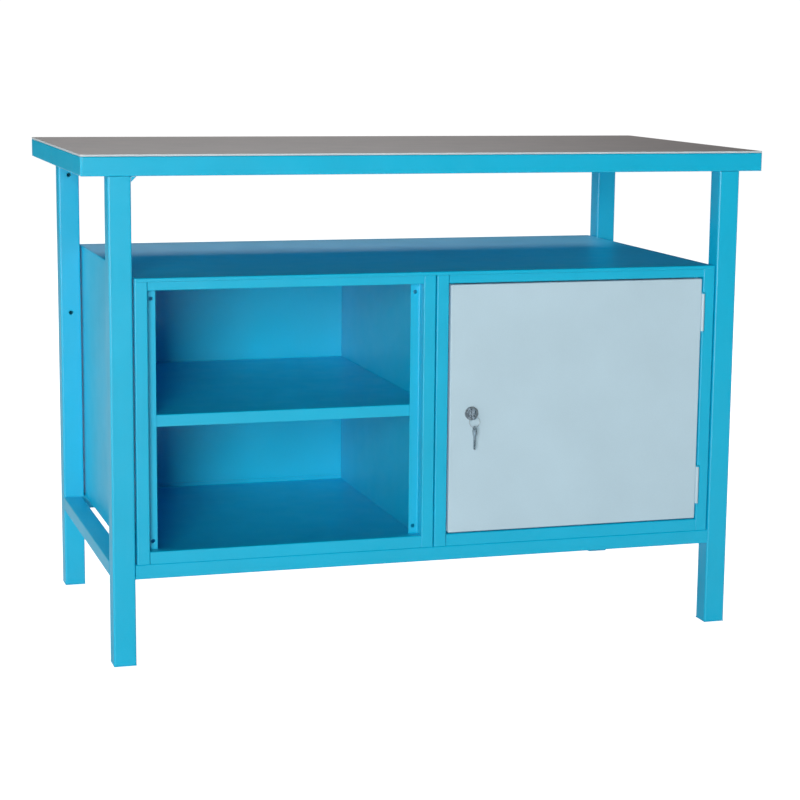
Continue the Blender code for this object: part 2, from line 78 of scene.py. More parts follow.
def linear(code):
    """The linear RGBA of an sRGB hex colour."""
    values = []
    for start in (0, 2, 4):
        value = int(code[start : start + 2], 16) / 255
        values.append(value / 12.92 if value <= 0.04045 else ((value + 0.055) / 1.055) ** 2.4)
    return (*values, 1.0)


def length(label, words, default):
    return bpy.props.FloatProperty(
        name=label, description=words, default=default, unit="LENGTH", precision=4
    )


def colour(label, words, code):
    return bpy.props.FloatVectorProperty(
        name=label, description=words, default=linear(code), size=4, min=0, max=1, subtype="COLOR"
    )


class BenchSizes(bpy.types.PropertyGroup):
    """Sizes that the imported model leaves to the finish."""

    sheet: length("Sheet", "Thickness of the folded steel sheet", 0.0012)
    fold: length("Fold radius", "Outer radius of a fold in the sheet", 0.0020)
    tube_wall: length("Tube wall", "Wall of the square tubes", 0.0020)
    tube_corner: length("Tube corner", "Outer corner radius of the square tubes", 0.0032)
    top_corner: length("Top corner", "Radius of the worktop's ground corners", 0.0050)
    stile: length("Stile", "Width of a cupboard's front stile", 0.0215)
    rebate: length("Rebate", "Depth of the rebate that the door closes into", 0.0220)
    stop: length("Stop flange", "Width of the flange that the door closes against", 0.0165)
    back_flange: length("Back flange", "Width of the side panel's rear flange", 0.0140)
    screw_hole: length("Buffer hole", "Radius of the holes in the stop flanges", 0.0035)
    bolt_hole: length("Bolt hole", "Radius of the holes in the rear left leg", 0.0040)
    lock_hole: length("Lock hole", "Radius of the hole for the lock's barrel", 0.0099)
    flat_corner: length("Flat tube corner", "Outer corner radius of the cross members", 0.0015)
    rail_corner: length("Rail corner", "Outer corner radius of the lower rails", 0.0024)
    bar_corner: length("Frame bar corner", "Outer corner radius of the worktop's bars", 0.0022)
    hem: length("Door hem", "Width of the door's rear hem", 0.0120)
    bead: length("Weld bead", "Radius of a weld bead", 0.0020)
    ripple: length("Weld ripple", "Distance between the ripples of a weld bead", 0.0016)


class BenchColours(bpy.types.PropertyGroup):
    """Colours of the finishes."""

    blue: colour("Blue coat", "Powder coat of the frame and the cupboards", "00BAE6")
    grey: colour("Grey coat", "Powder coat of the door", "C4E0ED")
    top: colour("Worktop", "Laminate of the working surface", "A0867D")
    # The worktop edge's pale bluish white is partly the edge's own colour and partly a painted
    # highlight where it catches the light.
    edge: colour("Worktop edge", "Cut edge of the laminate sheet", "D8E2E6")
    core: colour("Core board", "Board under the laminate", "B08D63")
    zinc: colour("Zinc", "Zinc plating of the small steel pieces", "A2AAAF")
    # The nickel's blue tint is a painted reflection of the blue coat around it; the plating itself
    # is slightly warm.
    nickel: colour("Nickel", "Nickel plating of the lock and its keys", "97A3AC")
    rubber: colour("Rubber", "Rubber of the door buffers", "29292A")
    floor: colour("Floor", "Studio floor", "F4F5F5")


# Materials


def node(tree, kind, inputs=None, **settings):
    """Adds a node with its settings; each input holds a value or the socket that feeds it."""
    made = tree.nodes.new(kind)
    for key, value in settings.items():
        setattr(made, key, value)
    for key, value in (inputs or {}).items():
        if isinstance(value, bpy.types.NodeSocket):
            tree.links.new(value, made.inputs[key])
        else:
            made.inputs[key].default_value = value
    return made


def new_material(name):
    """A material with only its output and shader, and the coordinates that its patterns read."""
    material = bpy.data.materials.new(name)
    material.use_nodes = True
    tree = material.node_tree
    shader = tree.nodes["Principled BSDF"]
    place = tree.nodes.new("ShaderNodeTexCoord").outputs["Object"]
    return material, tree, shader, place


def tint(rgba, factor):
    return (rgba[0] * factor, rgba[1] * factor, rgba[2] * factor, 1.0)


def two_tone(tree, value, base, darker, lighter, start=0.3, end=0.7):
    """A colour that runs from a darker to a lighter tint of the base as the value rises."""
    ramp = node(tree, "ShaderNodeValToRGB", {"Fac": value})
    first, last = ramp.color_ramp.elements
    first.position = start
    first.color = tint(base, darker)
    last.position = end
    last.color = tint(base, lighter)
    return ramp.outputs["Color"]


def blend(tree, first, second, share):
    """A value made of two others, with the second one's share."""
    mixed = node(tree, "ShaderNodeMix", {"Factor": share}, data_type="FLOAT")
    tree.links.new(first, mixed.inputs["A"])
    tree.links.new(second, mixed.inputs["B"])
    return mixed.outputs["Result"]


def vary_roughness(tree, shader, value, smoothest, roughest, start=0.3, end=0.7):
    """Lets the roughness rise with a value."""
    spread = {"Value": value, "From Min": start, "From Max": end}
    spread["To Min"] = smoothest
    spread["To Max"] = roughest
    gloss = node(tree, "ShaderNodeMapRange", spread)
    tree.links.new(gloss.outputs["Result"], shader.inputs["Roughness"])


def relief(tree, height, strength, distance):
    return node(
        tree, "ShaderNodeBump", {"Height": height, "Strength": strength, "Distance": distance}
    )


def noise(tree, place, scale, detail):
    settings = {"Vector": place, "Scale": scale, "Detail": detail}
    return node(tree, "ShaderNodeTexNoise", settings).outputs["Fac"]


def powder_coat(name, base, roughness):
    """Baked polyester powder coat: a semi-gloss skin with a fine orange peel of about 2 mm waves.

    The coat varies in depth by a few per cent over a hand's width, and it is a little rougher
    where hands and boxes have rubbed it.
    """
    material, tree, shader, place = new_material(name)
    drift = noise(tree, place, 7.0, 3.0)
    speck = noise(tree, place, 900.0, 2.0)
    depth = blend(tree, drift, speck, 0.4)
    coat = two_tone(tree, depth, base, 0.95, 1.05, 0.35, 0.65)
    tree.links.new(coat, shader.inputs["Base Color"])
    rub = noise(tree, place, 22.0, 5.0)
    vary_roughness(tree, shader, rub, roughness - 0.02, roughness + 0.03)
    peel = relief(tree, noise(tree, place, 420.0, 1.0), 0.10, 0.0001)
    wave = relief(tree, noise(tree, place, 16.0, 0.0), 0.02, 0.0015)
    tree.links.new(peel.outputs["Normal"], wave.inputs["Normal"])
    tree.links.new(wave.outputs["Normal"], shader.inputs["Normal"])
    shader.inputs["IOR"].default_value = 1.5
    return material


def smooth_laminate(name, base):
    """High-pressure laminate, pressed satin: brown-grey with a soft print mottle of 3 to 60 mm.

    Hair-fine scratches of 30 to 80 mm run mostly along the bench, as sliding work leaves them.
    """
    material, tree, shader, place = new_material(name)
    print_depth = blend(tree, noise(tree, place, 16.0, 6.0), noise(tree, place, 300.0, 3.0), 0.35)
    print_colour = two_tone(tree, print_depth, base, 0.90, 1.08, 0.35, 0.65)
    tree.links.new(print_colour, shader.inputs["Base Color"])
    lengthwise = node(tree, "ShaderNodeMapping", {"Vector": place, "Scale": (12.0, 900.0, 1.0)})
    scratch = noise(tree, lengthwise.outputs["Vector"], 1.0, 2.0)
    vary_roughness(tree, shader, scratch, 0.34, 0.46, start=0.35)
    groove = relief(tree, scratch, 0.12, 0.0001)
    tree.links.new(groove.outputs["Normal"], shader.inputs["Normal"])
    return material


def pale_edge_with_highlight(name, base):
    """The sawn edge of the laminate sheet: matt, with saw lines about 1.5 mm apart; its pale bluish
    white is partly its own colour and partly a painted highlight where the edge catches the light.
    """
    material, tree, shader, place = new_material(name)
    saw = noise(tree, place, 650.0, 2.0)
    tree.links.new(two_tone(tree, saw, base, 0.86, 1.04), shader.inputs["Base Color"])
    lines = relief(tree, saw, 0.2, 0.0002)
    tree.links.new(lines.outputs["Normal"], shader.inputs["Normal"])
    shader.inputs["Roughness"].default_value = 0.6
    return material


def pressed_board(name, base):
    """Pressed wood board: chips of 3 to 8 mm in straw and brown under a dull face."""
    material, tree, shader, place = new_material(name)
    chips = node(tree, "ShaderNodeTexVoronoi", {"Vector": place, "Scale": 180.0})
    face = blend(tree, chips.outputs["Color"], noise(tree, place, 60.0, 5.0), 0.5)
    straw = two_tone(tree, face, base, 0.7, 1.1, 0.25, 0.75)
    tree.links.new(straw, shader.inputs["Base Color"])
    edges = relief(tree, face, 0.3, 0.0003)
    tree.links.new(edges.outputs["Normal"], shader.inputs["Normal"])
    shader.inputs["Roughness"].default_value = 0.75
    return material


def plated_metal(name, base, roughness, scale):
    """Electroplated metal: bright, with fine polishing lines and handling marks."""
    material, tree, shader, place = new_material(name)
    marks = noise(tree, place, scale, 6.0)
    tree.links.new(two_tone(tree, marks, base, 0.82, 1.05), shader.inputs["Base Color"])
    vary_roughness(tree, shader, marks, roughness - 0.06, roughness + 0.10)
    lines = relief(tree, marks, 0.1, 0.0001)
    tree.links.new(lines.outputs["Normal"], shader.inputs["Normal"])
    shader.inputs["Metallic"].default_value = 1.0
    return material


def moulded_rubber(name, base):
    """Moulded black rubber: matt, with a bloom of lighter dust in patches of about 2 mm."""
    material, tree, shader, place = new_material(name)
    bloom = noise(tree, place, 500.0, 4.0)
    dust = two_tone(tree, bloom, base, 0.8, 1.8, 0.0, 1.0)
    tree.links.new(dust, shader.inputs["Base Color"])
    skin = relief(tree, bloom, 0.2, 0.0001)
    tree.links.new(skin.outputs["Normal"], shader.inputs["Normal"])
    shader.inputs["Roughness"].default_value = 0.8
    return material


# For each material: its maker, its colour, and the maker's other settings
FINISHES = {
    "powder_coat_blue": (powder_coat, "blue", (0.33,)),
    "powder_coat_grey": (powder_coat, "grey", (0.34,)),
    "laminate_brown_grey": (smooth_laminate, "top", ()),
    "laminate_sawn_edge": (pale_edge_with_highlight, "edge", ()),
    "pressed_core_board": (pressed_board, "core", ()),
    "zinc_plated_steel": (plated_metal, "zinc", (0.30, 260.0)),
    "nickel_plated_brass": (plated_metal, "nickel", (0.22, 420.0)),
    "moulded_rubber": (moulded_rubber, "rubber", ()),
}


def finish_of(name):
    """The material of a name, made the first time that it is asked for."""
    made = bpy.data.materials.get(name)
    if made:
        return made
    maker, tone, settings = FINISHES[name]
    base = tuple(getattr(bpy.context.scene.bench_colours, tone))
    return maker(name, base, *settings)


# Modelling steps


def select_nothing():
    if bpy.context.object and bpy.context.object.mode != "OBJECT":
        bpy.ops.object.mode_set(mode="OBJECT")
    bpy.ops.object.select_all(action="DESELECT")


def select_only(obj):
    select_nothing()
    obj.select_set(True)
    bpy.context.view_layer.objects.active = obj


def settle(obj):
    """Puts the object at the origin, with its place in its mesh."""
    select_only(obj)
    bpy.ops.object.transform_apply(location=True, rotation=True, scale=True)


def name_piece(obj, name):
    obj.name = name
    obj.data.name = name
    return obj


def block(name, least, most):
    """A block between two corners, to be shaped further."""
    select_nothing()
    least = Vector(least)
    most = Vector(most)
    bpy.ops.mesh.primitive_cube_add(size=1, location=(least + most) / 2)
    obj = name_piece(bpy.context.object, name)
    obj.scale = most - least
    settle(obj)
    return obj


TURNS = {"X": (0, math.pi / 2, 0), "Y": (math.pi / 2, 0, 0), "Z": (0, 0, 0)}


def disc(name, centre, radius, depth, axis, sides=48):
    """A round blank on an axis, to be shaped further."""
    select_nothing()
    bpy.ops.mesh.primitive_cylinder_add(
        vertices=sides, radius=radius, depth=depth, location=centre, rotation=TURNS[axis]
    )
    obj = name_piece(bpy.context.object, name)
    settle(obj)
    return obj


def pick(obj, kind, test):
    """Enters edit mode with only the faces or edges that pass the test selected.

    A face is tested by its centre and normal, an edge by its two ends.
    """
    select_only(obj)
    bpy.ops.object.mode_set(mode="EDIT")
    bpy.ops.mesh.select_mode(type=kind)
    bpy.ops.mesh.select_all(action="DESELECT")
    bpy.ops.object.mode_set(mode="OBJECT")
    mesh = obj.data
    found = 0
    if kind == "FACE":
        for face in mesh.polygons:
            face.select = test(face.center, face.normal)
            found += face.select
    else:
        for edge in mesh.edges:
            ends = [mesh.vertices[index].co for index in edge.vertices]
            edge.select = test(*ends)
            found += edge.select
    if not found:
        raise RuntimeError(f"{obj.name}: nothing to shape was found")
    bpy.ops.object.mode_set(mode="EDIT")


def back_to_object():
    bpy.ops.object.mode_set(mode="OBJECT")


def round_edges(obj, radius, segments, test):
    pick(obj, "EDGE", test)
    bpy.ops.mesh.bevel(offset=radius, offset_type="OFFSET", segments=segments, affect="EDGES")
    back_to_object()


def drop_faces(obj, test):
    pick(obj, "FACE", test)
    bpy.ops.mesh.delete(type="FACE")
    back_to_object()


def along(axis):
    """A test for edges that run along an axis."""
    index = "XYZ".index(axis)
    others = [k for k in range(3) if k != index]

    def test(a, b):
        return all(abs(a[k] - b[k]) < SAME_PLACE / 10 for k in others)

    return test


def every_edge(a, b):
    return True


def every_face(centre, normal):
    return True


def facing(direction):
    """A test for faces that look in a direction."""

    def test(centre, normal):
        return normal.dot(direction) > FACING

    return test


def apply_modifier(obj, name, kind, **settings):
    select_only(obj)
    modifier = obj.modifiers.new(name, kind)
    for key, value in settings.items():
        setattr(modifier, key, value)
    bpy.ops.object.modifier_apply(modifier=name)


def give_wall(obj, thickness):
    apply_modifier(obj, "wall", "SOLIDIFY", thickness=thickness, offset=-1.0, use_even_offset=True)


def boolean(obj, other, operation):
    """Cuts with or joins another piece, which is used up."""
    apply_modifier(obj, "cut", "BOOLEAN", object=other, operation=operation, solver="EXACT")
    bpy.data.objects.remove(other, do_unlink=True)


def drill(obj, centre, radius, depth, axis):
    boolean(obj, disc("drill", centre, radius, depth, axis, 40), "DIFFERENCE")


def notch(obj, least, most):
    boolean(obj, block("notch", least, most), "DIFFERENCE")


def soften(obj, radius, segments=2, angle=50):
    """Breaks the sharp edges that are left."""
    apply_modifier(
        obj,
        "broken edges",
        "BEVEL",
        width=radius,
        segments=segments,
        limit_method="ANGLE",
        angle_limit=math.radians(angle),
        harden_normals=False,
    )


def complete(obj, finish, body, nodes=(), angle=35):
    """Shades a finished piece, gives it its finish and body, and hides the nodes that it stands
    for.
    """
    select_only(obj)
    bpy.ops.object.shade_smooth_by_angle(angle=math.radians(angle))
    apply_modifier(obj, "flat faces stay flat", "WEIGHTED_NORMAL", keep_sharp=True, weight=60)
    obj.data.materials.clear()
    obj.data.materials.append(finish_of(finish))
    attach(obj, body)
    if nodes:
        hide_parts(*nodes)
    return obj


def square_tube(node_name, axis, corner=None):
    """A square tube in a node's place, with rolled corners and an open bore."""
    sizes = bpy.context.scene.bench_sizes
    obj = block(f"{node_name}_tube", low(node_name), high(node_name))
    index = "XYZ".index(axis)

    def at_end(centre, normal):
        return abs(normal[index]) > FACING

    drop_faces(obj, at_end)
    round_edges(obj, corner or sizes.tube_corner, 5, along(axis))
    give_wall(obj, sizes.tube_wall)
    return obj


def folded_sheet(name, path, run, outside):
    """A sheet folded along a path of corners: each wall is extruded from the last one's edge."""
    sizes = bpy.context.scene.bench_sizes
    points = [Vector(point) for point in path]
    run = Vector(run)
    across = points[1] - points[0]
    centre = (points[0] + points[1] + run) / 2
    select_nothing()
    bpy.ops.mesh.primitive_plane_add(size=1)
    obj = name_piece(bpy.context.object, name)
    upright = across.normalized().cross(run.normalized())
    turn = Matrix((across, run, upright)).transposed().to_4x4()
    obj.matrix_world = Matrix.Translation(centre) @ turn
    settle(obj)
    if obj.data.polygons[0].normal.dot(Vector(outside)) < 0:
        pick(obj, "FACE", every_face)
        bpy.ops.mesh.flip_normals()
        back_to_object()
    reach = points[1]

    def last_edge(a, b):
        ends = (reach, reach + run)
        return all(min((point - end).length for end in ends) < SAME_PLACE for point in (a, b))

    pick(obj, "EDGE", last_edge)
    for start, end in zip(points[1:], points[2:]):
        bpy.ops.mesh.extrude_edges_move(TRANSFORM_OT_translate={"value": end - start})
    back_to_object()
    folds = points[1:-1]

    def at_fold(point, fold):
        return min((point - fold).length, (point - fold - run).length) < SAME_PLACE

    def is_fold(a, b):
        return any(at_fold(a, fold) and at_fold(b, fold) for fold in folds)

    if folds:
        round_edges(obj, sizes.fold, 4, is_fold)
    give_wall(obj, sizes.sheet)
    return obj


def folded_tray(name, node_name, open_side, hem=0.0):
    """A box folded from sheet in a node's place, open or hemmed on one side."""
    sizes = bpy.context.scene.bench_sizes
    side = Vector(open_side)
    least = low(node_name)
    most = high(node_name)
    obj = block(name, least, most)
    reach = abs((most - least).dot(side)) / 2
    mouth = middle(node_name) + side * reach
    if hem:
        pick(obj, "FACE", facing(side))
        bpy.ops.mesh.inset(thickness=hem)
        back_to_object()

    def in_mouth(centre, normal):
        return normal.dot(side) > FACING and (centre - mouth).length < hem + SAME_PLACE

    drop_faces(obj, in_mouth)
    rim = mouth.dot(side)

    def on_rim(a, b):
        return min(a.dot(side), b.dot(side)) > rim - SAME_PLACE

    def is_fold(a, b):
        if not hem and on_rim(a, b):
            return False
        walls = 0
        for k in range(3):
            for wall in (least[k], most[k]):
                walls += abs(a[k] - wall) < SAME_PLACE and abs(b[k] - wall) < SAME_PLACE
        return walls >= 2

    round_edges(obj, sizes.fold, 4, is_fold)
    give_wall(obj, sizes.sheet)
    return obj


def rounded_copy(node_name, name, radius=0.0, segments=2, angle=50):
    """A merged copy of a node with its sharp edges broken."""
    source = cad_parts[node_name]
    obj = source.copy()
    obj.data = source.data.copy()
    obj.parent = None
    obj.matrix_world = source.matrix_world.copy()
    bpy.context.scene.collection.objects.link(obj)
    name_piece(obj, name)
    settle(obj)
    pick(obj, "FACE", every_face)
    bpy.ops.mesh.remove_doubles(threshold=SAME_PLACE / 10)
    bpy.ops.mesh.dissolve_limited(angle_limit=math.radians(1))
    back_to_object()
    if radius:
        soften(obj, radius, segments, angle)
    return obj


# Pieces

LEG_PLACES = ("front_left", "front_right", "rear_left", "rear_right")

# How far a cutting block runs past the face that it cuts
CUT_PAST = 0.001


class BENCH_OT_worktop(bpy.types.Operator):
    """Builds the laminate top, the mitred frame round it and what lies inside the frame"""

    bl_idname = "bench.worktop"
    bl_label = "Worktop"

    def execute(self, context):
        sizes = context.scene.bench_sizes
        self.build_sheet(sizes)
        self.build_frame(sizes)
        for side in ("left", "centre", "right"):
            tube = square_tube(f"{side}_cross_member", "Y", sizes.flat_corner)
            complete(tube, "powder_coat_blue", "bench", [f"{side}_cross_member"])
        core = block("worktop_core", low("worktop_core_board"), high("worktop_core_board"))
        round_edges(core, 0.0008, 2, every_edge)
        complete(core, "pressed_core_board", "bench", ["worktop_core_board"])
        core.data.materials.append(finish_of("powder_coat_blue"))
        for face in core.data.polygons:
            face.material_index = int(face.normal.z < -0.6)
        return {"FINISHED"}

    def build_sheet(self, sizes):
        sheet = block("worktop_laminate", low("worktop_sheet"), high("worktop_sheet"))
        round_edges(sheet, sizes.top_corner, 6, along("Z"))
        top = high("worktop_sheet").z

        def on_rim(a, b):
            return abs(a.z - top) < SAME_PLACE and abs(b.z - top) < SAME_PLACE

        round_edges(sheet, 0.0006, 2, on_rim)
        complete(sheet, "laminate_brown_grey", "bench", ["worktop_sheet"])
        sheet.data.materials.append(finish_of("laminate_sawn_edge"))
        for face in sheet.data.polygons:
            face.material_index = int(abs(face.normal.z) < 0.6)

    def build_frame(self, sizes):
        """Saws each bar to its mitres and grinds the outer corners round, as welded and dressed."""
        least = low("worktop_sheet")
        most = high("worktop_sheet")
        least.z = low("worktop_front_frame").z
        most.z = high("worktop_front_frame").z
        width = high("worktop_front_frame").y - low("worktop_front_frame").y
        overshoot = Vector((0, 0, 0.01))
        bars = (("front", "X", 0), ("rear", "X", 1), ("left", "Y", 0), ("right", "Y", 1))
        for side, axis, end in bars:
            bar_low = least.copy()
            bar_high = most.copy()
            across = 1 if axis == "X" else 0
            if end:
                bar_low[across] = most[across] - width
            else:
                bar_high[across] = least[across] + width
            bar = block(f"worktop_{side}_tube", bar_low, bar_high)
            round_edges(bar, sizes.bar_corner, 4, along(axis))
            self.saw_mitres(bar, least, most)
            envelope = block("envelope", least - overshoot, most + overshoot)
            round_edges(envelope, sizes.top_corner, 8, along("Z"))
            boolean(bar, envelope, "INTERSECT")
            complete(bar, "powder_coat_blue", "bench", [f"worktop_{side}_frame"])

    def saw_mitres(self, bar, least, most):
        """Cuts the bar where it meets its neighbours, at the corners that it reaches."""
        heart = sum((vert.co for vert in bar.data.vertices), Vector()) / len(bar.data.vertices)
        for x, y, normal in (
            (least.x, least.y, Vector((-1, 1, 0))),
            (most.x, most.y, Vector((-1, 1, 0))),
            (most.x, least.y, Vector((1, 1, 0))),
            (least.x, most.y, Vector((1, 1, 0))),
        ):
            corner = Vector((x, y, 0))
            nearest = min((vert.co.xy - corner.xy).length for vert in bar.data.vertices)
            if nearest > 0.006:
                continue
            away = normal.normalized()
            if (heart - corner).dot(away) < 0:
                away = -away
            pick(bar, "FACE", every_face)
            bpy.ops.mesh.bisect(plane_co=corner, plane_no=away, use_fill=True, clear_inner=True)
            back_to_object()


class BENCH_OT_legs(bpy.types.Operator):
    """Builds the four legs with their feet, and the gusset"""

    bl_idname = "bench.legs"
    bl_label = "Legs and feet"

    def execute(self, context):
        for name in LEG_PLACES:
            tube = square_tube(f"{name}_leg", "Z")
            if name == "rear_left":
                self.drill_bolt_holes(tube, context.scene.bench_sizes)
            complete(tube, "powder_coat_blue", "bench", [f"{name}_leg"])
            foot = rounded_copy(f"{name}_foot", f"{name}_foot_plug", radius=0.0006)
            complete(foot, "powder_coat_blue", "bench", [f"{name}_foot"])
        gusset = rounded_copy("front_left_gusset", "front_left_gusset_plate", radius=0.0004)
        complete(gusset, "powder_coat_blue", "bench", ["front_left_gusset"])
        return {"FINISHED"}

    def drill_bolt_holes(self, tube, sizes):
        """Drills the front wall of the rear left leg, just under the worktop and lower down."""
        centre = middle("rear_left_leg")
        centre.y = low("rear_left_leg").y
        top = high("worktop_sheet").z
        for share in (0.920, 0.6175):
            centre.z = top * share
            drill(tube, centre, sizes.bolt_hole, 0.012, "Y")


class BENCH_OT_rails(bpy.types.Operator):
    """Builds the four lower rails"""

    bl_idname = "bench.rails"
    bl_label = "Lower rails"

    def execute(self, context):
        corner = context.scene.bench_sizes.rail_corner
        for side, axis in (("front", "X"), ("rear", "X"), ("left", "Y"), ("right", "Y")):
            tube = square_tube(f"lower_{side}_rail", axis, corner)
            complete(tube, "powder_coat_blue", "bench", [f"lower_{side}_rail"])
        return {"FINISHED"}


class BENCH_OT_welds(bpy.types.Operator):
    """Lays the weld beads where the legs meet the worktop's frame and the rails"""

    bl_idname = "bench.welds"
    bl_label = "Weld beads"

    def execute(self, context):
        bead = context.scene.bench_sizes.bead
        for name in LEG_PLACES:
            least = low(f"{name}_leg")
            most = high(f"{name}_leg")
            outer, inner = (least.x, most.x) if "left" in name else (most.x, least.x)
            for side, x in (("outer", outer), ("inner", inner)):
                piece = f"{name}_{side}_top_weld"
                self.lay_bead(piece, x, most.z, (least.y, most.y), bead)
            rail = "lower_front_rail" if "front" in name else "lower_rear_rail"
            rail_low = low(rail)
            rail_high = high(rail)
            for level, z in (("upper", rail_high.z), ("lower", rail_low.z)):
                piece = f"{name}_{level}_rail_weld"
                self.lay_bead(piece, inner, z, (rail_low.y, rail_high.y), bead * 0.7)
        return {"FINISHED"}

    def lay_bead(self, name, x, z, span, radius):
        """One bead: a round bar along Y, short of the span's corners, swollen at each ripple."""
        set_back = 0.004
        start = span[0] + set_back
        reach = span[1] - set_back - start
        ripples = max(4, round(reach / bpy.context.scene.bench_sizes.ripple))
        centre = Vector((x, start + reach / 2, z))
        select_nothing()
        bpy.ops.mesh.primitive_cylinder_add(
            vertices=10,
            radius=radius,
            depth=reach,
            end_fill_type="TRIFAN",
            location=centre,
            rotation=TURNS["Y"],
        )
        obj = name_piece(bpy.context.object, name)
        settle(obj)

        def runs_along(a, b):
            return abs(a.y - b.y) > reach * 0.9

        pick(obj, "EDGE", runs_along)
        bpy.ops.mesh.subdivide(number_cuts=ripples * 3)
        back_to_object()
        for vert in obj.data.vertices:
            share = (vert.co.y - start) / reach
            taper = math.sqrt(max(0.05, 1 - (2 * share - 1) ** 8))
            swell = (0.86 + 0.14 * abs(math.cos(math.pi * share * ripples))) * taper
            vert.co.x = x + (vert.co.x - x) * swell
            vert.co.z = z + (vert.co.z - z) * swell
        complete(obj, "powder_coat_blue", "bench", angle=60)


class BENCH_OT_cupboard_sides(bpy.types.Operator):
    """Folds the four side panels, each with its stile, rebate and stop flange"""

    bl_idname = "bench.cupboard_sides"
    bl_label = "Cupboard sides"

    def execute(self, context):
        for cupboard in ("left_cupboard", "right_cupboard"):
            for side, inward in (("left", 1), ("right", -1)):
                self.fold_side(f"{cupboard}_{side}_side", inward, context.scene.bench_sizes)
        return {"FINISHED"}

    def fold_side(self, node_name, inward, sizes):
        """Folds a side from its rear flange to its stop flange, then drills and notches it."""
        least = low(node_name)
        most = high(node_name)
        outer = least.x if inward > 0 else most.x
        stop_y = least.y + sizes.rebate

        def at(inset, y, z=least.z):
            return Vector((outer + inward * inset, y, z))

        path = [
            at(sizes.back_flange, most.y),
            at(0, most.y),
            at(0, least.y),
            at(sizes.stile, least.y),
            at(sizes.stile, stop_y),
            at(sizes.stile + sizes.stop, stop_y),
        ]
        side = folded_sheet(f"{node_name}_panel", path, (0, 0, most.z - least.z), (0, 1, 0))
        opening_low = high("left_cupboard_sill").z
        opening_high = low("left_cupboard_header").z
        inset = sizes.stile + 0.009
        for height in (opening_low + 0.0135, opening_high - 0.0155):
            drill(side, at(inset, stop_y, height), sizes.screw_hole, 0.008, "Y")
        if node_name == "right_cupboard_right_side":
            for hinge in ("upper", "lower"):
                room = 0.0007
                bottom = low(f"{hinge}_hinge_bracket").z - room
                top = high(f"{hinge}_hinge_bracket").z + room
                corner = at(sizes.stile + 0.0006, least.y - CUT_PAST, bottom)
                notch(side, corner, at(sizes.stile - 0.0045, least.y + 0.0062, top))
        complete(side, "powder_coat_blue", "bench", [node_name])


class BENCH_OT_cupboard_fronts(bpy.types.Operator):
    """Folds the header and the sill of each cupboard"""

    bl_idname = "bench.cupboard_fronts"
    bl_label = "Headers and sills"

    def execute(self, context):
        for cupboard in ("left_cupboard", "right_cupboard"):
            for part in ("header", "sill"):
                node_name = f"{cupboard}_{part}"
                least = low(node_name)
                most = high(node_name)
                if part == "header":
                    heights = (most.z, least.z, least.z, most.z - 0.001)
                    depths = (least.y, least.y, most.y, most.y)
                    outside = (0, -1, 0)
                else:
                    heights = (least.z + 0.0015, most.z, most.z, least.z)
                    depths = (most.y, most.y, least.y, least.y)
                    outside = (0, 1, 0)
                path = [Vector((least.x, y, z)) for y, z in zip(depths, heights)]
                sheet = folded_sheet(f"{node_name}_fold", path, (most.x - least.x, 0, 0), outside)
                complete(sheet, "powder_coat_blue", "bench", [node_name])
        return {"FINISHED"}


class BENCH_OT_cupboard_insides(bpy.types.Operator):
    """Builds the floors, backs, shelves and shelf rails"""

    bl_idname = "bench.cupboard_insides"
    bl_label = "Floors, backs and shelves"

    def execute(self, context):
        for cupboard in ("left_cupboard", "right_cupboard"):
            self.fold_floor(cupboard, context.scene.bench_sizes)
            self.fold_shelf(cupboard)
            panel = f"{cupboard}_back_panel"
            back = block(f"{cupboard}_back_sheet", low(panel), high(panel))
            round_edges(back, 0.0003, 2, every_edge)
            complete(back, "powder_coat_blue", "bench", [panel])
            for side, inward in (("left", 1), ("right", -1)):
                node_name = f"{cupboard}_{side}_shelf_rail"
                least = low(node_name)
                most = high(node_name)
                wall, edge = (least.x, most.x) if inward > 0 else (most.x, least.x)
                path = [
                    Vector((edge, least.y, most.z)),
                    Vector((wall, least.y, most.z)),
                    Vector((wall, least.y, least.z)),
                ]
                rail = folded_sheet(f"{node_name}_angle", path, (0, most.y - least.y, 0), (0, 0, 1))
                complete(rail, "powder_coat_blue", "bench", [node_name])
        return {"FINISHED"}

    def fold_floor(self, cupboard, sizes):
        """Folds the floor's rear flange up and clears its front corners for the stop flanges."""
        node_name = f"{cupboard}_floor"
        least = low(node_name)
        most = high(node_name)
        top = least.z + sizes.sheet
        path = [
            Vector((least.x, most.y - sizes.sheet, most.z)),
            Vector((least.x, most.y - sizes.sheet, top)),
            Vector((least.x, least.y, top)),
        ]
        floor = folded_sheet(f"{node_name}_sheet", path, (most.x - least.x, 0, 0), (0, -1, 0))
        depth = least.y + sizes.rebate
        walls = ((low(f"{cupboard}_left_side").x, 1), (high(f"{cupboard}_right_side").x, -1))
        for wall, inward in walls:
            inner = wall + inward * (sizes.stile + sizes.stop + 0.0003)
            notch(
                floor,
                Vector((min(wall, inner), least.y - 0.01, least.z - 0.001)),
                Vector((max(wall, inner), depth, top + 0.001)),
            )
        complete(floor, "powder_coat_blue", "bench", [node_name])

    def fold_shelf(self, cupboard):
        """Folds the shelf's front and rear lips down."""
        node_name = f"{cupboard}_shelf"
        least = low(node_name)
        most = high(node_name)
        path = [
            Vector((least.x, least.y, least.z)),
            Vector((least.x, least.y, most.z)),
            Vector((least.x, most.y, most.z)),
            Vector((least.x, most.y, least.z)),
        ]
        shelf = folded_sheet(f"{node_name}_sheet", path, (most.x - least.x, 0, 0), (0, -1, 0))
        complete(shelf, "powder_coat_blue", "bench", [node_name])


class BENCH_OT_top_cover(bpy.types.Operator):
    """Folds the cover that lies over both cupboards"""

    bl_idname = "bench.top_cover"
    bl_label = "Cupboard cover"

    def execute(self, context):
        cover = folded_tray("cupboard_cover_sheet", "cupboard_top_cover", (0, 0, -1))
        complete(cover, "powder_coat_blue", "bench", ["cupboard_top_cover"])
        return {"FINISHED"}


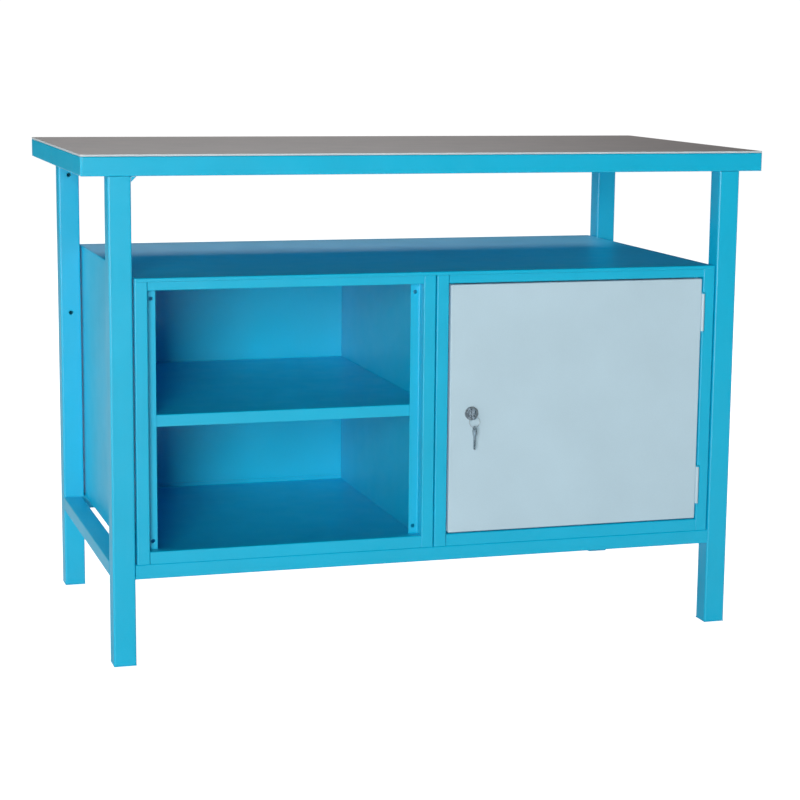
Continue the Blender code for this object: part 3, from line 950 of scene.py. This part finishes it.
class BENCH_OT_door(bpy.types.Operator):
    """Folds the door, drills it for the lock, and fits its hinges and buffers"""

    bl_idname = "bench.door"
    bl_label = "Door"

    def execute(self, context):
        sizes = context.scene.bench_sizes
        door = folded_tray("door_tray", "door_panel", (0, 1, 0), sizes.hem)
        barrel = middle("lock_body")
        drill(door, Vector((barrel.x, low("door_panel").y, barrel.z)), sizes.lock_hole, 0.01, "Y")
        complete(door, "powder_coat_grey", "door", ["door_panel"])
        for level in ("upper", "lower"):
            self.build_hinge(level)
            piece = f"{level}_door_buffer"
            buffer = rounded_copy(piece, f"{level}_rubber_buffer", radius=0.0004, angle=60)
            complete(buffer, "moulded_rubber", "bench", [piece])
        return {"FINISHED"}

    def build_hinge(self, level):
        piece = f"{level}_hinge_door_knuckle"
        knuckle = rounded_copy(piece, f"{level}_hinge_barrel", radius=0.0003, angle=60)
        complete(knuckle, "powder_coat_grey", "door", [piece])
        piece = f"{level}_hinge_bracket"
        bracket = rounded_copy(piece, f"{level}_hinge_strap", radius=0.0003, angle=60)
        complete(bracket, "powder_coat_blue", "bench", [piece])
        piece = f"{level}_hinge_pin"
        pin = rounded_copy(piece, f"{level}_hinge_rod", radius=0.0004, segments=3, angle=60)
        complete(pin, "zinc_plated_steel", "bench", [piece])


class BENCH_OT_lock(bpy.types.Operator):
    """Builds the cam lock with its nut, plug, cam and screw"""

    bl_idname = "bench.lock"
    bl_label = "Lock"

    def execute(self, context):
        body = rounded_copy("lock_body", "lock_housing", radius=0.0008, segments=4, angle=60)
        complete(body, "nickel_plated_brass", "door", ["lock_body"])
        plug = rounded_copy("lock_plug", "lock_cylinder", radius=0.0003, angle=60)
        complete(plug, "nickel_plated_brass", "lock_plug", ["lock_plug"])
        nut = rounded_copy("lock_nut", "lock_hexagon_nut", radius=0.0004)
        complete(nut, "zinc_plated_steel", "door", ["lock_nut"])
        cam = rounded_copy("lock_cam", "lock_cam_plate", radius=0.0004, angle=60)
        complete(cam, "zinc_plated_steel", "lock_plug", ["lock_cam"])
        screw = rounded_copy("cam_screw", "cam_screw_head", radius=0.0006, segments=3, angle=60)
        self.cut_cross(screw, middle("cam_screw"), high("cam_screw").y)
        complete(screw, "zinc_plated_steel", "lock_plug", ["cam_screw"])
        return {"FINISHED"}

    def cut_cross(self, screw, centre, head):
        """Presses the cross slot into the screw's head."""
        half_width = 0.0006
        half_length = 0.0030
        bottom = head - 0.0012
        beyond = head + CUT_PAST
        for wide, tall in ((half_width, half_length), (half_length, half_width)):
            notch(
                screw,
                Vector((centre.x - wide, bottom, centre.z - tall)),
                Vector((centre.x + wide, beyond, centre.z + tall)),
            )


class BENCH_OT_keys(bpy.types.Operator):
    """Cuts the two keys and bends the split ring that joins them"""

    bl_idname = "bench.keys"
    bl_label = "Keys and ring"

    def execute(self, context):
        key = rounded_copy("key", "lock_key")
        self.groove(key, "key", (0, 1, 0))
        complete(key, "nickel_plated_brass", "key", ["key"])
        spare = rounded_copy("spare_key", "lock_spare_key")
        self.cut_teeth(spare)
        self.groove(spare, "spare_key", (0, 0, -1))
        complete(spare, "nickel_plated_brass", "spare_key", ["spare_key"])
        self.bend_ring()
        return {"FINISHED"}

    def groove(self, obj, node_name, direction):
        """Mills the long groove down one face of the blade and breaks the edges."""
        least = low(node_name)
        most = high(node_name)
        centre = middle(node_name)
        bottom = most.x - 0.0005
        beyond = most.x + CUT_PAST
        half_width = 0.0008
        blade = 0.021
        if direction[1]:
            start = Vector((bottom, most.y - blade, centre.z - half_width))
            end = Vector((beyond, most.y + CUT_PAST, centre.z + half_width))
        else:
            start = Vector((bottom, centre.y - half_width, least.z - CUT_PAST))
            end = Vector((beyond, centre.y + half_width, least.z + blade))
        notch(obj, start, end)
        soften(obj, 0.00025)

    def cut_teeth(self, obj):
        """Files five bittings of different depths along the front edge of the blade."""
        least = low("spare_key")
        centre = middle("spare_key")
        edge = centre.y - 0.0038
        first = least.z + 0.0030
        pitch = 0.0032
        file_radius = 0.0016
        for index, bite in enumerate((0.0012, 0.0022, 0.0009, 0.0019, 0.0014)):
            height = first + index * pitch
            corner = Vector((centre.x, edge - file_radius + bite, height))
            tool = disc("file", corner, file_radius, 0.01, "X", 4)
            boolean(obj, tool, "DIFFERENCE")

    def bend_ring(self):
        """Winds a split ring: a flat-wound coil of nearly two turns in the ring's plane."""
        centre = middle("key_ring")
        size = high("key_ring") - low("key_ring")
        wire = size.y / 2
        radius = size.x / 2 - wire
        select_nothing()
        curve = bpy.data.curves.new("split_ring", "CURVE")
        curve.dimensions = "3D"
        curve.bevel_depth = wire * 0.5
        curve.bevel_resolution = 4
        curve.use_fill_caps = True
        spline = curve.splines.new("POLY")
        steps = 120
        turns = 1.9
        spline.points.add(steps)
        for index, point in enumerate(spline.points):
            share = index / steps
            angle = 2 * math.pi * turns * share + math.radians(20)
            ease = max(0.0, min(1.0, (share * turns - 0.75) / 0.4))
            offset = wire * (ease - 0.5)
            place = centre + Vector((radius * math.cos(angle), offset, radius * math.sin(angle)))
            point.co = (*place, 1)
        ring = bpy.data.objects.new("split_key_ring", curve)
        bpy.context.scene.collection.objects.link(ring)
        select_only(ring)
        bpy.ops.object.convert(target="MESH")
        ring = name_piece(bpy.context.object, "split_key_ring")
        complete(ring, "zinc_plated_steel", "key_ring", ["key_ring"], angle=60)


CAMERA_PLACE = Vector((-1.11115, -3.72899, 1.03920))
YAW = math.radians(17.56)
PITCH = math.radians(-9.92)
ROLL = math.radians(0.66)
LENS = 96.25
LENS_SHIFT = (-0.0259, 0.0150)

# Each lamp's name, place, width and height, and power in watts; all of them face LAMP_TARGET
LAMPS = (
    ("key_light", (-2.70, -6.40, 1.35), (1.8, 2.4), 290),
    ("left_light", (-6.85, 0.25, 1.70), (1.8, 1.8), 108),
    ("right_light", (4.20, 0.80, 1.60), (2.0, 2.0), 26),
    ("rear_light", (0.60, 5.25, 5.00), (3.6, 1.8), 148),
)
LAMP_TARGET = Vector((0, 0, 0.5))
SKY_LIGHT = (0.012, 0.045, 0.060, 1)
SKY_SEEN = (1.05, 1.05, 1.05, 1)


class BENCH_OT_stage(bpy.types.Operator):
    """Lays the floor and sets the camera and the soft studio lights"""

    bl_idname = "bench.stage"
    bl_label = "Stage"

    def execute(self, context):
        self.lay_floor(context.scene.bench_colours)
        self.set_camera(context.scene)
        self.set_lights(context.scene)
        return {"FINISHED"}

    def lay_floor(self, colours):
        select_nothing()
        bpy.ops.mesh.primitive_circle_add(vertices=96, radius=14, fill_type="NGON")
        floor = name_piece(bpy.context.object, "studio_floor")
        material, tree, shader, place = new_material("matt_studio_floor")
        cloud = noise(tree, place, 1.5, 2.0)
        concrete = two_tone(tree, cloud, tuple(colours.floor), 0.99, 1.0, 0.0, 1.0)
        tree.links.new(concrete, shader.inputs["Base Color"])
        shader.inputs["Roughness"].default_value = 0.9
        shader.inputs["Emission Color"].default_value = (1, 1, 1, 1)
        seen = node(tree, "ShaderNodeLightPath")
        tree.links.new(seen.outputs["Is Camera Ray"], shader.inputs["Emission Strength"])
        floor.data.materials.append(material)

    def set_camera(self, scene):
        data = bpy.data.cameras.new("studio_camera")
        data.sensor_width = 36
        data.lens = LENS
        data.shift_x, data.shift_y = LENS_SHIFT
        data.clip_end = 60
        camera = bpy.data.objects.new("studio_camera", data)
        scene.collection.objects.link(camera)
        forward = Vector((math.sin(YAW) * math.cos(PITCH), math.cos(YAW) * math.cos(PITCH), 0))
        forward.z = math.sin(PITCH)
        right = Vector((math.cos(YAW), -math.sin(YAW), 0))
        level = Matrix((right, right.cross(forward), -forward)).transposed().to_4x4()
        stand = Matrix.Translation(CAMERA_PLACE + Vector((0, (FRONT + BACK) / 2, 0)))
        camera.matrix_world = stand @ level @ Matrix.Rotation(ROLL, 4, "Z")
        scene.camera = camera

    def set_lights(self, scene):
        world = bpy.data.worlds.new("studio_world")
        world.use_nodes = True
        tree = world.node_tree
        seen = node(tree, "ShaderNodeLightPath")
        sky = node(tree, "ShaderNodeMix", {0: seen.outputs["Is Camera Ray"]}, data_type="RGBA")
        sky.inputs[6].default_value = SKY_LIGHT
        sky.inputs[7].default_value = SKY_SEEN
        tree.links.new(sky.outputs[2], tree.nodes["Background"].inputs["Color"])
        scene.world = world
        scene.view_settings.view_transform = "Standard"
        scene.view_settings.gamma = 1.2
        for name, place, size, power in LAMPS:
            data = bpy.data.lights.new(name, "AREA")
            data.shape = "RECTANGLE"
            data.size, data.size_y = size
            data.energy = power
            lamp = bpy.data.objects.new(name, data)
            lamp.location = place
            aim = LAMP_TARGET - lamp.location
            lamp.rotation_euler = aim.to_track_quat("-Z", "Y").to_euler()
            scene.collection.objects.link(lamp)


OPERATORS = (
    BENCH_OT_worktop,
    BENCH_OT_legs,
    BENCH_OT_rails,
    BENCH_OT_welds,
    BENCH_OT_cupboard_sides,
    BENCH_OT_cupboard_fronts,
    BENCH_OT_cupboard_insides,
    BENCH_OT_top_cover,
    BENCH_OT_door,
    BENCH_OT_lock,
    BENCH_OT_keys,
    BENCH_OT_stage,
)


class BENCH_PT_panel(bpy.types.Panel):
    """Lists the workbench's pieces, sizes and colours"""

    bl_idname = "BENCH_PT_panel"
    bl_label = "Workbench"
    bl_space_type = "VIEW_3D"
    bl_region_type = "UI"
    bl_category = "Workbench"

    def draw(self, context):
        column = self.layout.column(align=True)
        for operator in OPERATORS:
            column.operator(operator.bl_idname)
        for group in (context.scene.bench_sizes, context.scene.bench_colours):
            column = self.layout.column()
            for name in group.__annotations__:
                column.prop(group, name)


CLASSES = (BenchSizes, BenchColours, *OPERATORS, BENCH_PT_panel)


def register():
    for item in CLASSES:
        bpy.utils.register_class(item)
    bpy.types.Scene.bench_sizes = bpy.props.PointerProperty(type=BenchSizes)
    bpy.types.Scene.bench_colours = bpy.props.PointerProperty(type=BenchColours)


def unregister():
    del bpy.types.Scene.bench_colours
    del bpy.types.Scene.bench_sizes
    for item in reversed(CLASSES):
        bpy.utils.unregister_class(item)


def main():
    register()
    for operator in OPERATORS:
        group, name = operator.bl_idname.split(".")
        getattr(getattr(bpy.ops, group), name)()


if __name__ == "__main__":
    main()
